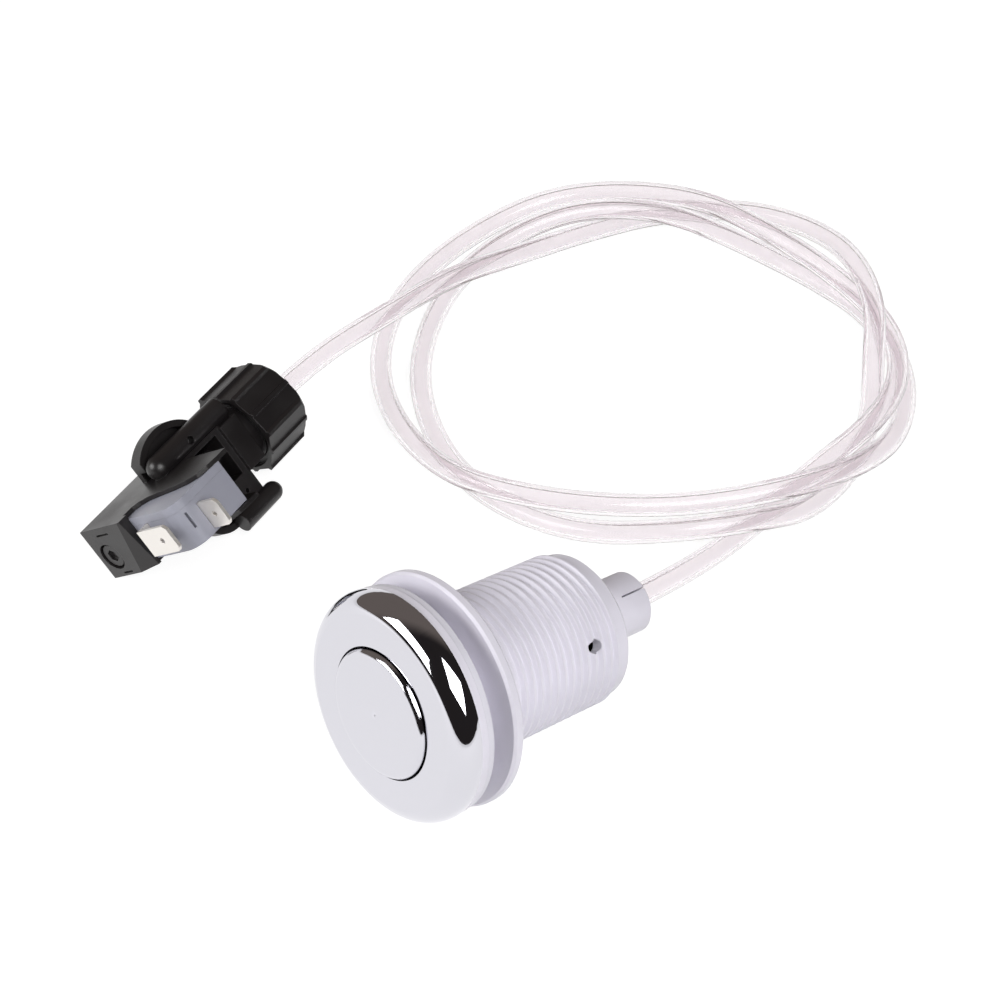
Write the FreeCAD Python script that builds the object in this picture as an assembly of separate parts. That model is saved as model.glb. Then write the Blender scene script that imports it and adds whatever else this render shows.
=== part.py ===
import FreeCAD, Part
import math
import os

# Lengths are in millimetres and angles in degrees. The kit lies on the floor, z = 0.

# Push button, stations run from the bezel's face to the rear.
button_centre_x = 6.6
button_centre_y = -44.0
button_heading = 40.05
button_spin = 0.0
bezel_lip = 7.35
bezel_depth = 4.8
bezel_roll = 3.5
bezel_bulge = 0.85
bezel_wall = 1.4
button_hole_r = 13.3
button_gap = 0.4
button_proud = 1.2
cap_skirt = 3.0
button_travel = 4.5
collar_depth = 6.0
flange_inset = 0.2
flange_t = 1.8
gasket_t = 1.4
thread_depth = 0.75
thread_pitch = 2.0
thread_start = 21.5
thread_count = 13
barrel_end = 50.7
barrel_wall = 1.8
guide_step = 0.8
guide_relief = 0.7
guide_end = 17.0
rear_wall = 2.5
boss_r = 6.4
boss_length = 14.4
boss_floor = 1.2
boss_slit_w = 0.35
boss_slit_len = 6.5
boss_slit_angle = -156.5
vent_r = 1.4
vent_station = 41.0
vent_angle = -124.0
nut_lip = 7.75
nut_front = 12.45
nut_t = 2.35
bellows_inset = 3.1
bellows_fold = 2.8
spring_wire_r = 0.45
bellows_wall = 0.7
bellows_folds = 6
bellows_start = 20.0

# Air tube.
tube_r = 2.5
tube_bore_r = 1.5
barb_r = 1.42
barb_bore_r = 0.7
barb_length = 6.0
cap_barb_length = 4.6
tube_lead = 19.5

# Pressure switch, x runs along its axis from the end wall to the cap, z is away from its floor.
switch_x = -49.3
switch_y = 10.7
switch_heading = 58.26
switch_roll = 50.35
cap_start = 39.4
cap_floor = 2.8
cap_rib_r = 11.0
cap_sides = 6
cap_rib_w = 0.9
cap_rib_h = 0.5
cap_turn = 41.5
cap_socket_depth = 6.1
frame_half_w = 6.2
frame_low = 9.7
end_wall_t = 2.5
end_wall_top = 4.1
cheek_top = 21.4
micro_low = 7.1
micro_depth = 15.9
micro_width = 10.3
micro_top = 20.7
micro_corner_r = 4.2
micro_cover_t = 1.9
neck_block_start = 32.4
neck_block_half = 5.7
neck_block_top = 7.4
wall_start = 30.9
wall_top = 6.4
neck_r = 7.6
neck_length = 4.0
plunger_r = 1.1
plunger_out = 1.2
pusher_r = 1.5
pusher_plate_r = 5.4
pusher_travel = 0.9
tab_w = 6.35
tab_t = 0.8
tab_hole_r = 0.65
tab_out = 6.1
tab_up = 9.9
open_tab_x = 8.6
open_tab_y = -1.2
common_tab_z = 9.3
ear_x = 23.6
ear_r = 7.3
rest_x = 22.8
rest_y = 2.75
rest_r = 11.1
screw_r = 1.5
screw_head_r = 2.7
screw_socket_r = 1.5
screw_y = -1.1
screw_z = -5.1

# Springs.
coil_steps = 14
coil_sides = 6

# Clearances shared by the fits.
running = 0.08
seat = 0.05

# Radii that follow from the button's hole outwards.
guide_bore_r = button_hole_r - guide_step
barrel_bore_r = guide_bore_r + guide_relief
thread_r = barrel_bore_r + barrel_wall + thread_depth
nut_r = thread_r + nut_lip
bezel_r = thread_r + bezel_lip
flange_r = bezel_r - flange_inset

# The cap closes over the neck and holds the tube's socket.
cap_length = neck_length + cap_floor + cap_socket_depth

nodes = {}


def vec(x, y, z):
    return FreeCAD.Vector(x, y, z)


def edges_at(shape, **where):
    """the edges whose middle lies at the given coordinates"""
    found = []
    for e in shape.Edges:
        middle = e.CenterOfMass
        if all(abs(getattr(middle, k) - v) < 0.01 for k, v in where.items()):
            found.append(e)
    return found


def ring(points):
    """points are (radius, height) pairs; a third value bends the edge to that point through a middle point"""
    edges = []
    last = vec(points[0][0], 0, points[0][1])
    for p in points[1:] + points[:1]:
        here = vec(p[0], 0, p[1])
        if len(p) == 4:
            edges.append(Part.Arc(last, vec(p[2], 0, p[3]), here).toShape())
        else:
            edges.append(Part.makeLine(last, here))
        last = here
    face = Part.Face(Part.Wire(edges))
    return face.revolve(vec(0, 0, 0), vec(0, 0, 1), 360)


def box(x0, x1, y0, y1, z0, z1):
    return Part.makeBox(x1 - x0, y1 - y0, z1 - z0, vec(x0, y0, z0))


def rod(radius, start, end, y=0.0, z=0.0):
    return Part.makeCylinder(radius, end - start, vec(start, y, z), vec(1, 0, 0))


def turned(shape, degrees, axis=None):
    copy = shape.copy()
    copy.rotate(vec(0, 0, 0), axis or vec(0, 0, 1), degrees)
    return copy


def fuse(first, others):
    return first.multiFuse(others).removeSplitter()


def plate(outline, t, normal):
    """outline is a list of 3-D points in one plane, thickened by t along normal"""
    wire = Part.makePolygon(outline + outline[:1])
    return Part.Face(wire).extrude(normal * t)


def coil(radius, wire_r, start, end, turns):
    steps = coil_steps * turns
    sections = []
    for k in range(steps + 1):
        a = 2 * math.pi * k / coil_steps
        z = start + (end - start) * k / steps
        section = []
        for j in range(coil_sides):
            b = 2 * math.pi * j / coil_sides
            r = radius + wire_r * math.cos(b)
            section.append(vec(r * math.cos(a), r * math.sin(a), z + wire_r * math.sin(b)))
        sections.append(section)
    flat = []
    for cap in (sections[0], sections[-1]):
        flat += [(cap[0], cap[j], cap[j + 1]) for j in range(1, coil_sides - 1)]
    for low, high in zip(sections, sections[1:]):
        for j in range(coil_sides):
            n = (j + 1) % coil_sides
            flat += [(low[j], low[n], high[n]), (low[j], high[n], high[j])]
    faces = [Part.Face(Part.makePolygon([a, b, c, a])) for a, b, c in flat]
    shell = Part.makeShell(faces)
    shell.sewShape()
    solid = Part.makeSolid(shell)
    if solid.Volume < 0:
        solid.reverse()
    return solid


def button_rear():
    """the station of the button's rear edge when it is pressed in all the way"""
    return cap_skirt - button_proud + button_travel


def bezel_ring():
    inner = bezel_r - bezel_wall
    return ring([
        (button_hole_r, 0), (bezel_r - bezel_roll, 0),
        (bezel_r, bezel_depth, bezel_r - bezel_bulge, bezel_roll / 2), (inner, bezel_depth),
        (inner, 2.1 * bezel_wall), (inner - 1.3, bezel_wall), (button_hole_r + 1.2, bezel_wall),
        (button_hole_r + 1.2, collar_depth), (button_hole_r, collar_depth),
    ])


def button_cap():
    r = button_hole_r - button_gap
    top = -button_proud
    edge = button_proud
    low = top + cap_skirt
    bend = edge * (1 - math.sqrt(0.5))
    return ring([
        (0, top - 0.1), (r - edge, top), (r, top + edge, r - bend, top + bend), (r, low), (r - 1.0, low),
        (r - 1.0, top + 1.4), (0, top + 1.4),
    ])


def button_plunger():
    r = guide_bore_r - running
    top = 1.4 - button_proud
    inside = button_hole_r - button_gap - 1.0 - seat
    hook_start = guide_end + 0.3
    body = ring([
        (0, top), (inside, top), (inside, top + 1.6), (r, top + 1.6), (r, hook_start - 1.0),
        (r - 1.6, hook_start - 1.0), (r - 1.6, top + 3.2), (5.0, top + 3.2), (5.0, bellows_start),
        (3.4, bellows_start), (3.4, top + 3.2), (0, top + 3.2),
    ])
    hooks = ring([
        (r - 1.6, hook_start - 2.0), (r, hook_start - 2.0), (r, hook_start),
        (barrel_bore_r - 0.3, hook_start + 0.2), (r - 0.4, hook_start + 2.2), (r - 1.6, hook_start + 2.2),
    ])
    gaps = [turned(box(-5.5, 5.5, 0, 20, hook_start - 1.0, hook_start + 5), 120 * k) for k in range(3)]
    return fuse(body, [hooks.cut(Part.makeCompound(gaps))])


def barrel_profile():
    root = thread_r - thread_depth
    rear = barrel_end - 1.0
    plain = thread_start - thread_pitch / 2
    points = [(bezel_r - bezel_wall - seat, bezel_depth), (flange_r, bezel_depth)]
    flange_back = bezel_depth + flange_t
    points += [(flange_r, flange_back), (thread_r, flange_back), (thread_r, plain), (root, plain + 0.5)]
    for k in range(thread_count):
        crest = thread_start + thread_pitch * (k + 0.5)
        points += [(root, crest - 0.8), (thread_r, crest - 0.22)]
        points += [(thread_r, crest + 0.22), (root, crest + 0.8)]
    points += [(root, rear), (root - 1.0, barrel_end)]
    boss_end = barrel_end + boss_length
    points += [(boss_r, barrel_end), (boss_r, boss_end - 0.5), (boss_r - 0.5, boss_end)]
    socket = tube_r + running
    floor = barrel_end + boss_floor
    points += [(socket, boss_end), (socket, floor), (barb_r, floor)]
    points += [(barb_r, floor + barb_length - 0.8), (barb_r - 0.4, floor + barb_length)]
    points += [(barb_bore_r, floor + barb_length)]
    inner_wall = barrel_end - rear_wall
    shoulder = button_rear() + 0.3
    points += [(barb_bore_r, inner_wall), (barrel_bore_r, inner_wall), (barrel_bore_r, guide_end)]
    points += [(guide_bore_r, guide_end), (guide_bore_r, shoulder), (button_hole_r, shoulder)]
    points += [(button_hole_r, collar_depth + seat)]
    collar = button_hole_r + 1.2 + seat
    inner = bezel_r - bezel_wall - seat
    front = bezel_wall + seat
    points += [(collar, collar_depth + seat), (collar, front), (inner - 1.3 - seat, front)]
    points += [(inner, 2.1 * bezel_wall + seat)]
    return points


def barrel_housing():
    body = ring(barrel_profile())
    vent = Part.makeCylinder(vent_r, 6, vec(12, 0, vent_station), vec(1, 0, 0))
    body = body.cut(turned(vent, vent_angle))
    start = barrel_end + boss_length - boss_slit_len
    slit = box(tube_r, boss_r + 1, -boss_slit_w / 2, boss_slit_w / 2, start, barrel_end + boss_length + 1)
    return body.cut(turned(slit, boss_slit_angle))


def lock_nut():
    bore = thread_r + 0.1
    back = nut_front + nut_t
    return ring([(bore, nut_front), (nut_r - 0.5, nut_front), (nut_r, nut_front + 0.5), (nut_r, back - 0.5),
                 (nut_r - 0.5, back), (bore, back)])


def panel_gasket():
    front = bezel_depth + flange_t
    back = front + gasket_t
    bore = thread_r + 0.3
    r = flange_r - flange_inset
    return ring([(bore, front), (r, front), (r, back), (bore, back)])


def bellows():
    start = bellows_start
    base = barrel_end - rear_wall
    flange = base - 1.6
    fold = (flange - start) / bellows_folds
    bellows_r = guide_bore_r - bellows_inset
    bellows_root_r = bellows_r - bellows_fold
    outer = [(bellows_root_r, start)]
    for k in range(bellows_folds):
        outer += [(bellows_r, start + fold * (k + 0.5)), (bellows_root_r, start + fold * (k + 1))]
    rim = barrel_bore_r - 0.8
    outer = outer[:-1] + [(bellows_root_r + 0.6, flange), (rim, flange), (rim, base)]
    inner = [(bellows_root_r - bellows_wall - 0.4, base)]
    for k in reversed(range(bellows_folds)):
        inner += [(bellows_r - bellows_wall - 0.4, start + fold * (k + 0.5)),
                  (bellows_root_r - bellows_wall - 0.4, start + fold * max(k, 0.35))]
    return ring(outer + inner + [(0, start + fold * 0.35), (0, start)])


def return_spring():
    inside = guide_bore_r - running - 1.6
    outside = guide_bore_r - bellows_inset
    start = 4.6 - button_proud + spring_wire_r + seat
    end = barrel_end - rear_wall - 1.6 - spring_wire_r - seat
    return coil((inside + outside) / 2, spring_wire_r, start, end, 9)


def micro_outline(grow=0.0):
    x0 = end_wall_t + seat * 2 - grow
    x1 = x0 + micro_depth + 2 * grow
    z1 = micro_top + grow
    z0 = -micro_low - grow
    return x0, x1, z0, z1


def micro_block(y0, y1):
    x0, x1, z0, z1 = micro_outline()
    body = box(x0, x1, y0, y1, z0, z1)
    return body.makeFillet(micro_corner_r, edges_at(body, x=x0, z=z1))


def micro_cavity():
    x0, x1, z0, z1 = micro_outline()
    return x0 + 1.6, x1 - 1.6, z0 + 1.6, z1 - 1.8


def micro_case():
    x0, x1, z0, z1 = micro_outline()
    cx0, cx1, cz0, cz1 = micro_cavity()
    half = micro_width / 2
    body = micro_block(-half, half - micro_cover_t)
    body = body.cut(box(cx0, cx1, -half + 1.6, half, cz0, cz1))
    body = body.cut(rod(plunger_r + running, cx1 - 1, x1 + 1))
    body = body.cut(box(x0 + 2.2, x0 + 2.7, -1.6, 2.2, z1 - 1.5, z1 + 1))
    slot = tab_t / 2 + seat
    reach = tab_w / 2 + seat
    low, high = open_tab_y - reach, open_tab_y + reach
    body = body.cut(box(open_tab_x - slot, open_tab_x + slot, low, high, cz1 - 2, z1 + 1))
    low, high = common_tab_z - seat, common_tab_z + tab_t + seat
    return body.cut(box(x0 - 1, cx0 + 1, -reach, reach, low, high))


def micro_cover():
    half = micro_width / 2
    body = micro_block(half - micro_cover_t, half)
    for x, z in ((6.0, -4.2), (15.2, 17.0)):
        body = body.cut(Part.makeCylinder(1.0, 0.6, vec(x, half - 0.3, z), vec(0, 1, 0)))
    x0 = micro_outline()[0]
    reach = tab_w / 2 + seat
    z = common_tab_z
    return body.cut(box(x0 - 1, x0 + 3, 0, reach, z - seat, z + tab_t + seat))


def micro_plunger():
    x0, x1, z0, z1 = micro_outline()
    cx0, cx1, cz0, cz1 = micro_cavity()
    stem = rod(plunger_r, cx1 - 4.6, x1 + plunger_out)
    return fuse(stem, [rod(plunger_r + 0.8, cx1 - 1.6, cx1 - 0.1)])


def common_terminal():
    x0, x1, z0, z1 = micro_outline()
    cx0, cx1, cz0, cz1 = micro_cavity()
    w = tab_w / 2
    out = x0 - 2.5
    low = common_tab_z
    top = low + tab_up
    half = tab_t / 2
    leg = box(out - half, cx0 + 2.4, -w, w, low, low + tab_t)
    tab = box(out - half, out + half, -w, w, low, top)
    tip = edges_at(tab, y=w, z=top) + edges_at(tab, y=-w, z=top)
    tab = tab.makeChamfer(0.9, tip)
    hole = rod(tab_hole_r, out - 2, out + 2, 0, top - 3.6)
    foot = box(cx0 + 2.4 - tab_t, cx0 + 2.4, -2.4, 2.4, cz0 + 0.6, low + 0.1)
    return fuse(leg, [tab, foot]).cut(hole)


def open_terminal():
    x0, x1, z0, z1 = micro_outline()
    y0 = open_tab_y - tab_w / 2
    half = tab_t / 2
    tab = box(open_tab_x - half, open_tab_x + half, y0, y0 + tab_w, z1 - 3.4, z1 + tab_out)
    tip = edges_at(tab, y=y0, z=z1 + tab_out) + edges_at(tab, y=y0 + tab_w, z=z1 + tab_out)
    tab = tab.makeChamfer(0.9, tip)
    hole = rod(tab_hole_r, open_tab_x - 2, open_tab_x + 2, open_tab_y, z1 + 3.2)
    foot = box(open_tab_x - half, open_tab_x + half, -2.4, 2.4, z1 - 7.2, z1 - 3.3)
    rivet = rod(1.2, open_tab_x + half, open_tab_x + half + 0.6, 0, z1 - 5.6)
    return fuse(tab, [foot, rivet]).cut(hole)


def contact_blade():
    cx0, cx1, cz0, cz1 = micro_cavity()
    z1 = micro_outline()[3]
    foot = cx0 + 2.4
    tip = cx1 - 4.6 - 0.6
    line = [(foot, cz0 + 0.8), (foot, cz0 + 4.0), (tip, 3.0), (tip, z1 - 4.2)]
    back = [(x + 0.3, z) for x, z in reversed(line)]
    outline = [vec(x, -2.0, z) for x, z in line + back]
    return plate(outline, 4.0, vec(0, 1, 0))


def pusher_end():
    return micro_outline()[1] + plunger_out + 0.1


def neck_end():
    return cap_start + neck_length


def diaphragm_pusher():
    plate_start = neck_end() - 1.9
    stem = rod(pusher_r, pusher_end(), plate_start + 0.2)
    return fuse(stem, [rod(pusher_plate_r, plate_start, neck_end())])


def pusher_spring():
    start = cap_start - 2.4
    end = neck_end() - 1.9
    spring = coil(2.6, 0.3, 0.3, end - start - 0.3, 4)
    spring.rotate(vec(0, 0, 0), vec(0, 1, 0), 90)
    return spring.translated(vec(start, 0, 0))


def diaphragm():
    r = neck_r - 0.2
    roll = pusher_plate_r - 0.4
    body = ring([(0, 0), (roll - 0.7, 0), (roll, 0.55), (roll + 0.7, 0), (r, 0), (r, 0.8),
                 (roll + 0.7, 0.8), (roll, 1.35), (roll - 0.7, 0.8), (0, 0.8)])
    body.rotate(vec(0, 0, 0), vec(0, 1, 0), 90)
    return body.translated(vec(neck_end() + seat, 0, 0))


def pressure_cap():
    end = cap_start + cap_length
    outline = []
    half_w = cap_rib_w / 2
    flat = cap_rib_r * math.cos(math.pi / cap_sides)
    shoulder = cap_rib_r - cap_rib_w * 0.5
    for k in range(2 * cap_sides):
        if k % 2:
            rib = [(-half_w - 0.25, flat), (-half_w, flat + cap_rib_h)]
        else:
            rib = [(-half_w - 0.35, shoulder - 0.4), (-half_w, cap_rib_r - 0.1)]
        rib += [(-across, out) for across, out in reversed(rib)]
        turn = math.radians(cap_turn + 180.0 * k / cap_sides)
        for across, out in rib:
            y = out * math.cos(turn) - across * math.sin(turn)
            z = out * math.sin(turn) + across * math.cos(turn)
            outline.append(vec(cap_start, y, z))
    body = plate(outline, cap_length, vec(1, 0, 0))
    cone = ring([(0, end - 20), (40, end - 20), (cap_rib_r + 0.2, end - 1.4), (cap_rib_r - 1.2, end),
                 (0, end)])
    cone.rotate(vec(0, 0, 0), vec(0, 1, 0), 90)
    body = body.common(cone)
    shelf = neck_end() + 0.8 + seat
    body = body.cut(rod(neck_r + seat + 0.03, cap_start - 1, shelf))
    body = body.cut(rod(neck_r + 1.2, cap_start - 1, cap_start + 1.2))
    body = body.cut(rod(pusher_plate_r + 0.6, shelf - 1, shelf + 0.7))
    body = body.cut(rod(tube_r + running, end - cap_socket_depth, end + 1))
    barb = rod(barb_r, end - cap_socket_depth - 0.2, end - cap_socket_depth + cap_barb_length)
    body = fuse(body, [barb])
    return body.cut(rod(barb_bore_r, shelf - 1, end + 1))


def cheek_outline():
    rise = cheek_top - end_wall_top
    steps = [(0.0, 0.0), (5.6, 0.0), (7.2, 0.06), (8.2, 0.16), (9.0, 0.33), (9.9, 0.6), (11.0, 0.8),
             (12.6, 0.92), (15.2, 0.98), (18.0, 1.0)]
    return [(x, end_wall_top + rise * h) for x, h in steps]


def cheek(y0, y1, back):
    low = -frame_low
    line = cheek_outline() + [(back, cheek_top), (back, low), (0.0, low)]
    return plate([vec(x, y0, z) for x, z in line], y1 - y0, vec(0, 1, 0))


def finger(y, z, start, end, r):
    """a round bar along x with a round nose at its end"""
    way = vec(1 if end > start else -1, 0, 0)
    length = abs(end - start) - r
    body = Part.makeCylinder(r, length, vec(start, y, z), way)
    return fuse(body, [Part.makeSphere(r, vec(start, y, z) + way * length)])


def ear(x, y, r, low, keep):
    """the part of a dished disc that stands out of the frame's side"""
    disc = Part.makeCylinder(r, 3.4, vec(x, y, low))
    dish = Part.makeCylinder(r - 1.5, 2.4, vec(x, y, low + 1.4))
    return disc.cut(dish).common(keep)


def end_slope():
    """the wedge that is taken off the end wall's top"""
    w = frame_half_w + 0.8
    rise = (micro_outline()[0] + seat) * 1.9
    corners = [(-1.0, end_wall_top - 1.9), (-1.0, end_wall_top + 6.0), (2.2, end_wall_top + 6.0)]
    wire = [vec(x, w, z + 0.25) for x, z in corners]
    return plate(wire, 1.0, vec(0, -2 * w, -rise * 0.9))


def switch_frame():
    x0, x1, z0, z1 = micro_outline(seat)
    w = frame_half_w
    back = x1 + 2.6
    wall = 1.1
    low = -frame_low
    body = box(0, back, -w, w, low, end_wall_top)
    pieces = [box(0, x0 + 0.1, -w, w, end_wall_top - 1, end_wall_top + 1.1)]
    pieces += [cheek(w - 0.95, w, back), cheek(-w, -w + 0.95, back)]
    pieces.append(box(x1, back, -w, w, low, 9.5))
    sleeve_r = pusher_r + wall
    pieces.append(rod(sleeve_r, back - 0.5, wall_start + 0.5))
    pieces.append(box(back - 0.5, wall_start + 0.5, -w, w, low, low + 4.0))
    for side in (1, -1):
        y0, y1 = sorted((side * w, side * (w - wall)))
        pieces.append(box(back - 0.5, wall_start + 0.5, y0, y1, low, wall_top))
    pieces.append(box(wall_start, neck_block_start + 0.5, -w, w, low, wall_top))
    half = neck_block_half
    pieces.append(box(neck_block_start, cap_start - 1.8, -half, half, -7.6, neck_block_top))
    pieces.append(rod(neck_r - 0.6, cap_start - 2.2, cap_start + 1.0))
    pieces.append(rod(neck_r, cap_start + 0.8, neck_end()))
    pieces.append(finger(7.9, 3.4, cap_start - 1.9, 14.2, 2.7))
    pieces.append(finger(-12.75, 6.5, 23.2, 36.3, 2.2))
    pieces.append(box(18.0, 35.0, w - 1.0, 8.4, -2.2, 2.0))
    pieces.append(box(24.6, neck_block_start + 0.5, -12.6, -w + 0.6, 3.4, wall_top))
    pieces.append(ear(rest_x, rest_y, rest_r, -2.2, box(15.0, 33.0, w - 0.9, 20, -2.2, 2.0)))
    pieces.append(ear(ear_x, -6.4, ear_r, 0.6, box(ear_x - ear_r, ear_x + ear_r, -20, 0.9 - w, 0.6, 4.0)))
    body = fuse(body, pieces).cut(end_slope())
    half = micro_width / 2 + seat
    body = body.cut(box(x0, x1, -half, half, z0, z1 + 10))
    body = body.cut(rod(pusher_r + running, x1 - 1, neck_end() + 1))
    body = body.cut(rod(3.1, cap_start - 2.4, neck_end() + 1))
    body = body.cut(rod(pusher_plate_r + 0.3, neck_end() - 2.9, neck_end() + 1))
    body = body.cut(rod(screw_r + seat, -1, x0 + 1, screw_y, screw_z))
    body = body.cut(rod(screw_head_r + 0.5, -1, 1.3, screw_y, screw_z))
    for y, z, length in ((4.4, -5.1, 4.4), (-5.4, -5.2, 3.3)):
        body = body.cut(box(-1, 0.5, y - 0.22, y + 0.22, z, z + length))
    for x, y, r in ((25.6, 8.0, 0.9), (29.2, -8.6, 0.5), (27.6, -9.6, 0.5)):
        body = body.cut(Part.makeCylinder(r, 3.0, vec(x, y, 4.0), vec(0, 0, 1)))
    return body


def adjusting_screw():
    x0 = micro_outline()[0]
    shank = rod(screw_r, 0.8, x0 - seat, screw_y, screw_z)
    body = fuse(shank, [rod(screw_head_r, 0.35, 1.25, screw_y, screw_z)])
    socket = []
    for k in range(6):
        a = math.radians(60 * k)
        y, z = screw_socket_r * math.cos(a), screw_socket_r * math.sin(a)
        socket.append(vec(0.0, screw_y + y, screw_z + z))
    body = body.cut(plate(socket, 1.1, vec(1, 0, 0)))
    return fuse(body, [rod(0.5, 1.0, 1.9, screw_y, screw_z)])


tube_points = [
    (3.0, 84.8, 9.9),
    (18.1, 100.0, 8.2),
    (33.7, 111.7, 4.6),
    (49.6, 122.1, 2.6),
    (67.9, 129.3, 2.6),
    (86.8, 127.9, 5.1),
    (101.4, 118.6, 8.2),
    (110.8, 102.2, 13.1),
    (114.3, 83.8, 13.7),
    (112.7, 70.3, 8.7),
    (111.7, 58.4, 3.5),
    (105.8, 42.0, 2.6),
    (95.0, 27.7, 4.8),
    (82.8, 19.3, 10.9),
    (66.4, 16.1, 10.9),
    (46.0, 19.5, 6.2),
    (28.0, 31.4, 2.6),
    (16.3, 45.7, 2.6),
    (10.2, 65.7, 3.1),
    (11.3, 85.9, 2.6),
    (18.2, 105.2, 2.6),
    (30.8, 117.9, 4.9),
    (48.1, 124.2, 8.5),
    (69.1, 123.7, 7.8),
    (84.9, 117.4, 4.4),
    (102.1, 106.0, 2.6),
    (115.5, 92.0, 2.6),
    (121.3, 73.3, 2.6),
    (118.1, 53.6, 3.6),
    (108.1, 38.6, 8.0),
    (90.5, 28.4, 11.1),
    (71.1, 24.7, 9.9),
    (52.1, 24.0, 10.0),
    (33.0, 27.3, 9.9),
    (17.8, 36.6, 6.6),
    (6.5, 52.6, 3.9),
    (0.8, 71.7, 2.6),
    (2.5, 91.6, 2.6),
    (11.5, 109.5, 2.6),
    (25.0, 123.8, 3.0),
    (41.0, 132.4, 5.1),
    (59.1, 132.1, 7.7),
    (78.3, 126.2, 9.3),
    (93.7, 114.2, 8.9),
    (108.6, 98.5, 8.0),
    (118.1, 82.1, 7.9),
    (118.6, 64.7, 8.4),
    (110.1, 48.8, 9.6),
    (95.2, 37.2, 6.1),
    (78.8, 19.8, 4.1),
]


def bent_path(points):
    """straight runs joined by tangent arcs"""
    edges = []
    radii = []
    last = points[0]
    for a, b, c in zip(points, points[1:], points[2:]):
        into = b - a
        out = c - b
        reach = 0.45 * min(into.Length, out.Length)
        half = into.getAngle(out) / 2
        radii.append(reach / math.tan(half))
        into.normalize()
        out.normalize()
        start = b - into * reach
        end = b + out * reach
        bisector = out - into
        bisector.normalize()
        depth = radii[-1] * (1 / math.cos(half) - 1)
        edges.append(Part.makeLine(last, start))
        edges.append(Part.Arc(start, b + bisector * depth, end).toShape())
        last = end
    edges.append(Part.makeLine(last, points[-1]))
    return Part.Wire(edges), radii


def air_tube(at_switch, at_button):
    cap_end = cap_start + cap_length - cap_socket_depth + seat
    boss_in = barrel_end + boss_floor + seat
    points = [at_switch.multVec(vec(cap_end + reach, 0, 0)) for reach in (0, tube_lead)]
    points += [vec(*p) for p in tube_points]
    points += [at_button.multVec(vec(0, 0, boss_in + reach)) for reach in (tube_lead, 0)]
    path, radii = bent_path(points)
    print("bend radii", " ".join("%.1f" % r for r in radii))
    for p in points[:2] + points[-2:]:
        print("tube end point %.2f %.2f %.2f" % (p.x, p.y, p.z))
    print("tube length %.1f" % path.Length)
    way = points[1] - points[0]
    solids = []
    for r in (tube_r, tube_bore_r):
        section = Part.Wire([Part.makeCircle(r, points[0], way)])
        solids.append(path.makePipeShell([section], True, True))
    tube = solids[0].cut(solids[1])
    area = math.pi * (tube_r ** 2 - tube_bore_r ** 2)
    print("tube volume ratio %.4f" % (tube.Volume / area / path.Length))
    return tube


def button_placement():
    last_crest = thread_start + thread_pitch * (thread_count - 0.5) + 0.22
    nut_edge = nut_front + nut_t - 0.4
    lean = math.degrees(math.atan2(nut_r - thread_r, last_crest - nut_edge))
    tilt = math.radians(lean)
    height = nut_r * math.cos(tilt) + nut_edge * math.sin(tilt)
    turn = FreeCAD.Rotation(vec(0, 0, 1), button_heading)
    turn = turn.multiply(FreeCAD.Rotation(vec(0, 1, 0), 90 + lean))
    turn = turn.multiply(FreeCAD.Rotation(vec(0, 0, 1), button_spin))
    return FreeCAD.Placement(vec(button_centre_x, button_centre_y, height), turn)


def switch_placement():
    turn = FreeCAD.Rotation(vec(0, 0, 1), switch_heading)
    turn = turn.multiply(FreeCAD.Rotation(vec(1, 0, 0), switch_roll))
    return FreeCAD.Placement(vec(switch_x, switch_y, cap_rib_r), turn)


def placed(shape, placement):
    copy = shape.copy()
    copy.transformShape(placement.toMatrix())
    return copy


def build():
    at_button = button_placement()
    at_switch = switch_placement()
    for maker in (bezel_ring, button_cap, button_plunger, barrel_housing, lock_nut, panel_gasket,
                  bellows, return_spring):
        nodes[maker.__name__] = placed(maker(), at_button)
    for maker in (switch_frame, pressure_cap, diaphragm, diaphragm_pusher, pusher_spring, adjusting_screw,
                  micro_case, micro_cover, micro_plunger, common_terminal, open_terminal, contact_blade):
        nodes[maker.__name__] = placed(maker(), at_switch)
    nodes["air_tube"] = air_tube(at_switch, at_button)
    os.makedirs("parts", exist_ok=True)
    for name, shape in nodes.items():
        solids = len(shape.Solids)
        print("%-18s valid %s solids %d volume %.1f" % (name, shape.isValid(), solids, shape.Volume))
        shape.exportStep("parts/%s.step" % name)


build()
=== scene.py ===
import math

import bpy
import numpy as np
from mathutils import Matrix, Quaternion, Vector


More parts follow.
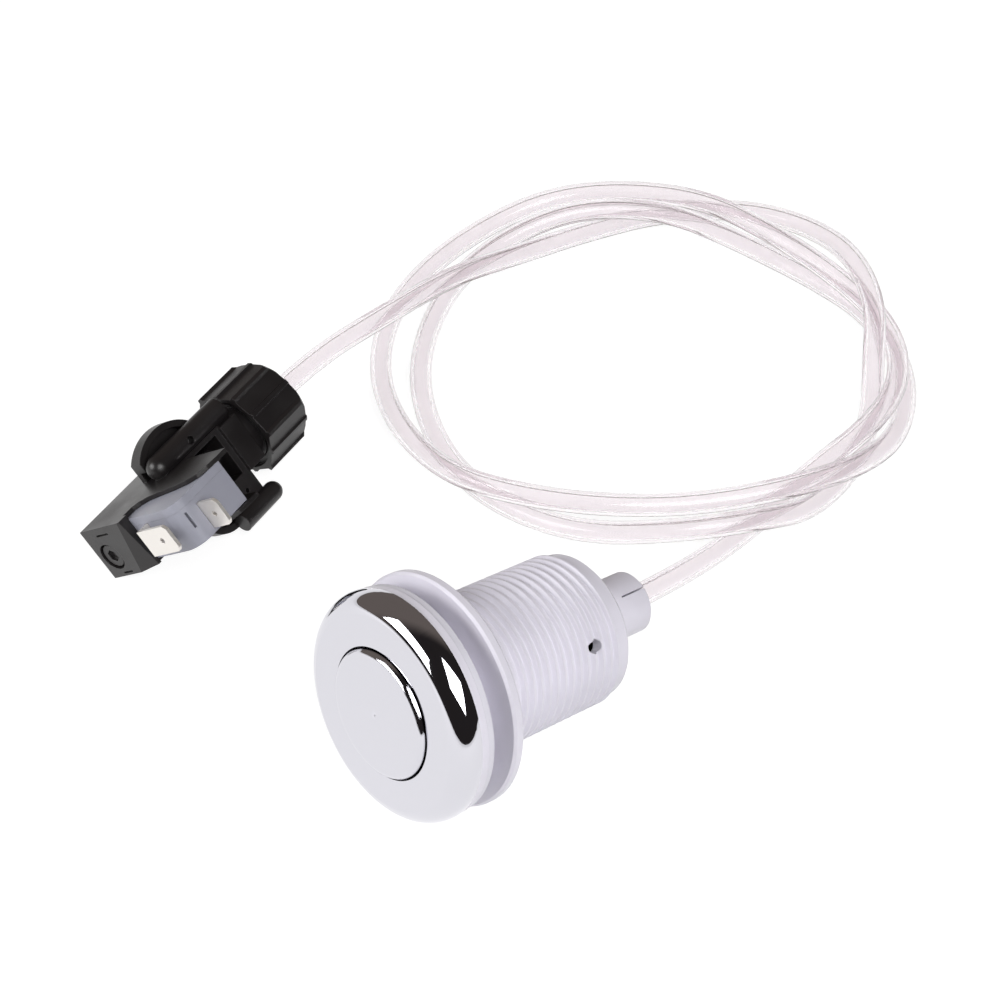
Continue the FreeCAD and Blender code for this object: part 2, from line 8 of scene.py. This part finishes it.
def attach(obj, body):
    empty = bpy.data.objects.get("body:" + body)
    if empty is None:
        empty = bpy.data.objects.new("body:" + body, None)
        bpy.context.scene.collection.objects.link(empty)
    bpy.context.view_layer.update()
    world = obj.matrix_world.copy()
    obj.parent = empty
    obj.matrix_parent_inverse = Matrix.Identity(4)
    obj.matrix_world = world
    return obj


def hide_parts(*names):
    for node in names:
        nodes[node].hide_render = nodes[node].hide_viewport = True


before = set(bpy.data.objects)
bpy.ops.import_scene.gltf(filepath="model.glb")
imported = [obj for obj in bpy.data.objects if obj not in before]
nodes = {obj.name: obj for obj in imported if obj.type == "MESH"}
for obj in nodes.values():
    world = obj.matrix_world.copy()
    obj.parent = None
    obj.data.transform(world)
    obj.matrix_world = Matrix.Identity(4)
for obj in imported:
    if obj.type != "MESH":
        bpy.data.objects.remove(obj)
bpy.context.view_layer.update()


class Shade:
    def __init__(self, tree, socket):
        self.tree = tree
        self.socket = socket

    def math(self, operation, *others):
        node = self.tree.nodes.new("ShaderNodeMath")
        node.operation = operation
        for place, value in enumerate((self,) + others):
            feed(self.tree, node.inputs[place], value)
        return Shade(self.tree, node.outputs[0])

    def __add__(self, other):
        return self.math("ADD", other)

    def __mul__(self, other):
        return self.math("MULTIPLY", other)

    def smooth(self, low, high, bottom=0.0, top=1.0):
        node = self.tree.nodes.new("ShaderNodeMapRange")
        node.interpolation_type = "SMOOTHSTEP"
        for place, value in enumerate((self, low, high, bottom, top)):
            feed(self.tree, node.inputs[place], value)
        return Shade(self.tree, node.outputs[0])

    def between(self, first, second):
        node = self.tree.nodes.new("ShaderNodeMix")
        node.data_type = "RGBA"
        feed(self.tree, node.inputs["Factor"], self)
        node.inputs[6].default_value = (*first, 1)
        node.inputs[7].default_value = (*second, 1)
        return Shade(self.tree, node.outputs[2])


def feed(tree, entry, value):
    if isinstance(value, Shade):
        tree.links.new(value.socket, entry)
    else:
        entry.default_value = value


class Finish:
    def __init__(self, name, color, roughness, **constants):
        self.material = bpy.data.materials.new(name)
        self.material.use_nodes = True
        self.tree = self.material.node_tree
        self.shader = self.tree.nodes["Principled BSDF"]
        self.set("Base Color", (*color, 1))
        self.set("Roughness", roughness)
        for key, value in constants.items():
            self.set(key.replace("_", " "), value)
        self.heights = []

    def set(self, name, value):
        feed(self.tree, self.shader.inputs[name], value)

    def other(self, kind, **values):
        node = self.tree.nodes.new(kind)
        for key, value in values.items():
            entry = key.replace("_", " ")
            if entry in node.inputs:
                feed(self.tree, node.inputs[entry], value)
            else:
                setattr(node, key, value)
        return node

    def place(self):
        return Shade(self.tree, self.other("ShaderNodeTexCoord").outputs["Object"])

    def noise(self, scale, detail):
        node = self.other("ShaderNodeTexNoise", Scale=scale, Detail=detail, Vector=self.place())
        return Shade(self.tree, node.outputs["Fac"])

    def bump(self, height, distance, strength):
        self.heights.append((height, distance, strength))

    def close(self, edge=0.0):
        normal = None
        if edge:
            bevel = self.other("ShaderNodeBevel", Radius=edge, samples=6)
            normal = Shade(self.tree, bevel.outputs[0])
        for height, distance, strength in self.heights:
            node = self.other("ShaderNodeBump", Height=height, Distance=distance, Strength=strength)
            if normal:
                feed(self.tree, node.inputs["Normal"], normal)
            normal = Shade(self.tree, node.outputs[0])
        if normal:
            self.set("Normal", normal)
        return self.material


moulding = {
    "cloudScale": 90, "cloudDetail": 3, "cloud": (0.3, 0.7), "spread": 0.06, "darker": 0.96, "lighter": 1.03,
    "grainScale": 2200, "grainDetail": 2, "grainStrength": 0.5, "edge": 0.0002,
}


def plastic(name, color, roughness, grain=0.00002):
    finish = Finish(name, color, roughness)
    cloud = finish.noise(moulding["cloudScale"], moulding["cloudDetail"])
    spread = moulding["spread"]
    finish.set("Roughness", cloud.smooth(*moulding["cloud"], roughness - spread, roughness + spread))
    darker = tuple(c * moulding["darker"] for c in color)
    lighter = tuple(c * moulding["lighter"] for c in color)
    finish.set("Base Color", cloud.smooth(*moulding["cloud"]).between(darker, lighter))
    finish.bump(finish.noise(moulding["grainScale"], moulding["grainDetail"]), grain, moulding["grainStrength"])
    return finish.close(moulding["edge"])


polish = {
    "hazeScale": 160, "hazeDetail": 3, "haze": (0.35, 0.75), "hazeDepth": 0.03,
    "waveScale": 45, "waveDetail": 1, "waveHeight": 0.00004, "waveStrength": 0.25,
}


def mirrorMetal(name, color, roughness, edge=0.0, metal=1.0):
    finish = Finish(name, color, roughness, Metallic=metal)
    haze = finish.noise(polish["hazeScale"], polish["hazeDetail"])
    finish.set("Roughness", haze.smooth(*polish["haze"], roughness, roughness + polish["hazeDepth"]))
    wave = finish.noise(polish["waveScale"], polish["waveDetail"])
    finish.bump(wave, polish["waveHeight"], polish["waveStrength"])
    return finish.close(edge)


materials = {
    "chrome": mirrorMetal("chrome", (0.63, 0.625, 0.67), 0.03),
    "capChrome": mirrorMetal("capChrome", (0.63, 0.625, 0.67), 0.03, 0.0006),
    "white": plastic("whitePlastic", (0.74, 0.72, 0.80), 0.36),
    "seal": plastic("sealRubber", (0.70, 0.69, 0.76), 0.5),
    "black": plastic("blackPlastic", (0.0115, 0.0098, 0.0102), 0.38, 0.00003),
    "rubber": plastic("blackRubber", (0.02, 0.02, 0.022), 0.6),
    "grey": plastic("greyPlastic", (0.31, 0.315, 0.37), 0.42),
    "steel": mirrorMetal("springSteel", (0.6, 0.6, 0.62), 0.2),
    "tin": mirrorMetal("terminalMetal", (0.80, 0.77, 0.73), 0.36, 0.0001, 0.75),
    "copper": mirrorMetal("copperAlloy", (0.78, 0.46, 0.28), 0.2),
}

nodeMaterials = {
    "bezel_ring": "chrome", "button_cap": "capChrome", "button_plunger": "white", "barrel_housing": "white",
    "lock_nut": "white", "panel_gasket": "seal", "bellows": "rubber", "return_spring": "steel",
    "switch_frame": "black", "pressure_cap": "black", "diaphragm": "rubber", "diaphragm_pusher": "black",
    "pusher_spring": "steel", "adjusting_screw": "black", "micro_case": "grey", "micro_cover": "grey",
    "micro_plunger": "black", "common_terminal": "tin", "open_terminal": "tin", "contact_blade": "copper",
}

for name, key in nodeMaterials.items():
    for slot in nodes[name].material_slots:
        slot.material = materials[key]
print("CAD nodes dressed")


tube = {
    "radius": 0.0025, "bore": 0.0015, "length": 1.02,
    "capMouth": (-0.02174, 0.05524, 0.011), "sides": 36, "steps": 10,
    "tint": (0.968, 0.936, 0.953), "haze": 0.09, "clarity": 0.95, "bend": 1.24,
    "route": [
        (-24.97, 50.03, 11.0), (-14.71, 66.62, 11.0), (3.0, 84.8, 9.9), (18.1, 100.0, 8.2), (33.7, 111.7, 4.6),
        (49.6, 122.1, 2.6), (67.9, 129.3, 2.6), (86.8, 127.9, 5.1), (101.4, 118.6, 8.2), (110.8, 102.2, 13.1),
        (114.3, 83.8, 13.7), (112.7, 70.3, 8.7), (111.7, 58.4, 3.5), (105.8, 42.0, 2.6), (95.0, 27.7, 4.8),
        (82.8, 19.3, 10.9), (66.4, 16.1, 10.9), (46.0, 19.5, 6.2), (28.0, 31.4, 2.6), (16.3, 45.7, 2.6),
        (10.2, 65.7, 3.1), (11.3, 85.9, 2.6), (18.2, 105.2, 2.6), (30.8, 117.9, 4.9), (48.1, 124.2, 8.5),
        (69.1, 123.7, 7.8), (84.9, 117.4, 4.4), (102.1, 106.0, 2.6), (115.5, 92.0, 2.6), (121.3, 73.3, 2.6),
        (118.1, 53.6, 3.6), (108.1, 38.6, 8.0), (90.5, 28.4, 11.1), (71.1, 24.7, 9.9), (52.1, 24.0, 10.0),
        (33.0, 27.3, 9.9), (17.8, 36.6, 6.6), (6.5, 52.6, 3.9), (0.8, 71.7, 2.6), (2.5, 91.6, 2.6),
        (11.5, 109.5, 2.6), (25.0, 123.8, 3.0), (41.0, 132.4, 5.1), (59.1, 132.1, 7.7), (78.3, 126.2, 9.3),
        (93.7, 114.2, 8.9), (108.6, 98.5, 8.0), (118.1, 82.1, 7.9), (118.6, 64.7, 8.4), (110.1, 48.8, 9.6),
        (95.2, 37.2, 6.1), (78.8, 19.8, 4.1), (59.79, 0.71, 9.55), (45.27, -11.49, 14.1),
    ],
}


def newPiece(name, mesh, material, body="kit"):
    piece = bpy.data.objects.new(name, mesh)
    bpy.context.scene.collection.objects.link(piece)
    mesh.materials.append(material)
    mesh.polygons.foreach_set("use_smooth", [True] * len(mesh.polygons))
    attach(piece, body)
    return piece


def splineLine(points, steps):
    curve = bpy.data.curves.new("route", "CURVE")
    curve.dimensions = "3D"
    curve.resolution_u = steps
    spline = curve.splines.new("NURBS")
    spline.points.add(len(points) - 1)
    for control, at in zip(spline.points, points):
        control.co = (at[0] / 1000, at[1] / 1000, at[2] / 1000, 1)
    spline.order_u = 3
    spline.use_endpoint_u = True
    holder = bpy.data.objects.new("route", curve)
    mesh = bpy.data.meshes.new_from_object(holder)
    line = np.empty(len(mesh.vertices) * 3)
    mesh.vertices.foreach_get("co", line)
    bpy.data.objects.remove(holder)
    return line.reshape(-1, 3)


def ringsAlong(line, radius, sides):
    tangents = np.gradient(line, axis=0)
    tangents /= np.linalg.norm(tangents, axis=1)[:, None]
    side = np.cross(tangents[0], (0, 0, 1))
    side /= np.linalg.norm(side)
    angles = np.linspace(0, 2 * math.pi, sides, endpoint=False)
    rings = []
    for at, tangent in zip(line, tangents):
        side = side - tangent * (side @ tangent)
        side /= np.linalg.norm(side)
        up = np.cross(tangent, side)
        rings.append(at + radius * (np.cos(angles)[:, None] * side + np.sin(angles)[:, None] * up))
    return np.array(rings)


def tubeMesh(line, outer, inner, sides):
    skins = [ringsAlong(line, outer, sides), ringsAlong(line, inner, sides)]
    count = len(line)
    points = np.concatenate([skin.reshape(-1, 3) for skin in skins])
    ring = np.arange(sides)
    after = (ring + 1) % sides
    start = (np.arange(count - 1) * sides)[:, None]
    out = np.stack([start + ring, start + after, start + after + sides, start + ring + sides], 2).reshape(-1, 4)
    shift = count * sides
    far = (count - 1) * sides
    first = np.stack([ring, shift + ring, shift + after, after], 1)
    last = np.stack([far + ring, far + after, far + shift + after, far + shift + ring], 1)
    faces = np.concatenate([out, (out + shift)[:, ::-1], first, last])
    mesh = bpy.data.meshes.new("airTube")
    mesh.from_pydata(points.tolist(), [], faces.tolist())
    return mesh


clear = Finish("clearTube", tube["tint"], tube["haze"], Transmission_Weight=tube["clarity"], IOR=tube["bend"])
line = splineLine(tube["route"], tube["steps"])
airTube = newPiece("air_tube_clear", tubeMesh(line, tube["radius"], tube["bore"], tube["sides"]), clear.close())
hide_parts("air_tube")
print("air tube done")


def planeAt(name, size, location, turn, material):
    half = size[0] / 2, size[1] / 2
    mesh = bpy.data.meshes.new(name)
    mesh.from_pydata([(-half[0], -half[1], 0), (half[0], -half[1], 0), (half[0], half[1], 0),
                      (-half[0], half[1], 0)], [], [(0, 1, 2, 3)])
    mesh.materials.append(material)
    plane = bpy.data.objects.new(name, mesh)
    plane.location = location
    plane.rotation_euler = turn
    bpy.context.scene.collection.objects.link(plane)
    return plane


stage = {
    "floorSize": (40, 40), "paper": (0.80, 0.80, 0.80), "shadowed": (0.24, 0.24, 0.24), "glow": 0.88,
    "room": (0.165, 0.140, 0.125), "darkSide": (0.022, 0.019, 0.019), "acrossX": -0.3, "edge": (0.05, 0.5),
    "aim": (0, 0, 0.02), "paperRoughness": 0.9,
    "left": {"watts": 6.6, "size": (0.62, 0.50), "location": (-0.80, -0.23, 0.46), "spin": 0.0},
    "front": {"watts": 7.2, "size": (0.62, 0.60), "location": (0.32, -0.50, 0.70), "spin": 0.75},
}

paper = Finish("paper", stage["paper"], stage["paperRoughness"])
rays = paper.other("ShaderNodeLightPath").outputs
seen = Shade(paper.tree, rays["Is Camera Ray"])
for kind in ("Is Glossy Ray", "Is Transmission Ray"):
    seen = seen.math("MAXIMUM", Shade(paper.tree, rays[kind]))
paper.set("Base Color", seen.between(stage["paper"], stage["shadowed"]))
paper.set("Emission Color", seen.between((0, 0, 0), (1, 1, 1)))
paper.set("Emission Strength", stage["glow"])
planeAt("floor", stage["floorSize"], (0, 0, 0), (0, 0, 0), paper.close())

world = bpy.data.worlds.new("studio")
bpy.context.scene.world = world
world.use_nodes = True
room = world.node_tree
way = room.nodes.new("ShaderNodeTexCoord").outputs["Generated"]
split = room.nodes.new("ShaderNodeSeparateXYZ")
room.links.new(way, split.inputs[0])
turned = Shade(room, split.outputs["X"]) * stage["acrossX"] + Shade(room, split.outputs["Y"])
walls = turned.smooth(*stage["edge"]).between(stage["darkSide"], stage["room"])
feed(room, room.nodes["Background"].inputs["Color"], walls)


def softbox(name, watts, size, location, spin):
    data = bpy.data.lights.new(name, "AREA")
    data.shape = "RECTANGLE"
    data.size, data.size_y = size
    data.energy = watts
    lamp = bpy.data.objects.new(name, data)
    lamp.location = location
    way = Vector(stage["aim"]) - lamp.location
    lamp.rotation_euler = (way.to_track_quat("-Z", "Y") @ Quaternion((0, 0, 1), spin)).to_euler()
    bpy.context.scene.collection.objects.link(lamp)


for side in ("left", "front"):
    box = stage[side]
    softbox(side, box["watts"], box["size"], box["location"], box["spin"])

view = {"lens": 82.73, "sensor": 36, "location": (0.0287, -0.3073, 0.3634), "down": 0.815}
cameraData = bpy.data.cameras.new("camera")
cameraData.lens = view["lens"]
cameraData.sensor_width = view["sensor"]
camera = bpy.data.objects.new("camera", cameraData)
camera.location = view["location"]
camera.rotation_euler = (math.pi / 2 - view["down"], 0, 0)
bpy.context.scene.collection.objects.link(camera)
bpy.context.scene.camera = camera
bpy.context.scene.view_settings.view_transform = "Standard"
print("stage, lamps and camera done")
